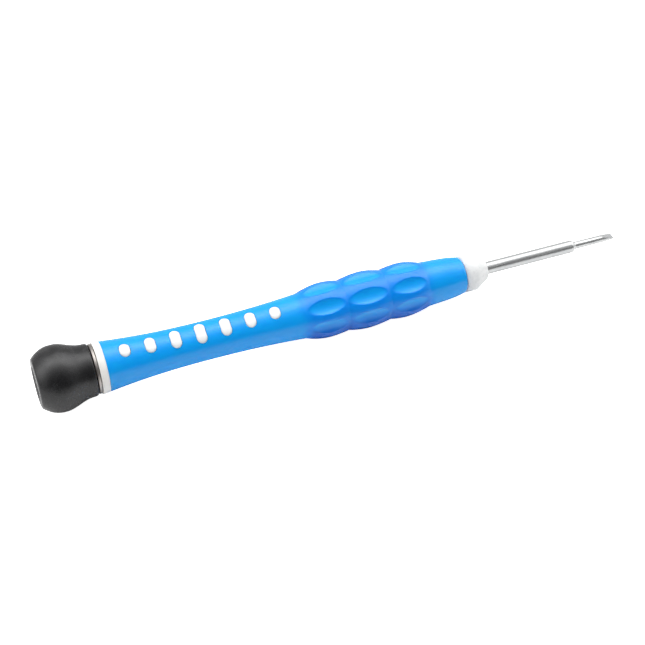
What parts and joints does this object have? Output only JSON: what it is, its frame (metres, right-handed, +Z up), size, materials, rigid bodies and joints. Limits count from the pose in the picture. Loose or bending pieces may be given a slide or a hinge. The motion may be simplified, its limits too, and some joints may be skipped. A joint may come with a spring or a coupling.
{
  "type": "watchmaker screwdriver",
  "caption": "Slim precision screwdriver with a slotted steel tip, a scooped soft blue grip with white windows, and a black swivel cap on a ball bearing.",
  "frame": {"origin": "under the middle of the tool's length, at the height of the table that the swivel cap lies on", "axes": "+X along the tool towards its tip, +Z up, one of the grip's scoops facing straight up"},
  "size_m": [0.14, 0.0152, 0.0152],
  "materials": {
    "sleeve": "satin translucent blue soft plastic moulded over the core",
    "core": "white hard plastic, slightly glossy",
    "nose": "milky translucent nylon",
    "collar": "opaque warm white plastic, satin",
    "blade_steel": "polished steel, ground flats at the tip",
    "cap_rubber": "satin black soft plastic",
    "hub_plastic": "dark grey moulded plastic",
    "bearing_steel": "ground bearing steel",
    "ball_steel": "polished bearing steel",
    "shield_steel": "pressed thin steel",
    "cage_brass": "drawn brass",
    "shim_brass": "punched brass",
    "screw_steel": "turned steel",
    "washer_steel": "bright turned steel"
  },
  "bodies": {
    "handle": {"grip_sleeve": "sleeve", "handle_core": "core", "nose_ferrule": "nose", "end_plug": "collar", "blade": "blade_steel", "pivot_screw": "screw_steel", "trim_washer": "washer_steel", "bearing_shim": "shim_brass", "bearing_inner_race": "bearing_steel"},
    "swivel_cap": {"cap_cover": "cap_rubber", "cap_hub": "hub_plastic", "bearing_outer_race": "bearing_steel", "bearing_shield_rear": "shield_steel", "bearing_shield_front": "shield_steel"},
    "ball_train": {"bearing_cage": "cage_brass", "bearing_ball_1": "ball_steel", "bearing_ball_2": "ball_steel", "bearing_ball_3": "ball_steel", "bearing_ball_4": "ball_steel", "bearing_ball_5": "ball_steel", "bearing_ball_6": "ball_steel", "bearing_ball_7": "ball_steel"}
  },
  "joints": [
    {"name": "cap_spin", "type": "hinge", "parent": "handle", "child": "swivel_cap", "pos_m": [-0.0592, 0, 0.00758], "axis": [1, 0, 0], "continuous": true},
    {"name": "ball_train_roll", "type": "hinge", "parent": "handle", "child": "ball_train", "pos_m": [-0.0592, 0, 0.00758], "axis": [1, 0, 0], "continuous": true}
  ],
  "couplings": [
    {"joint": "ball_train_roll", "follows": "cap_spin", "ratio": 0.63636}
  ]
}
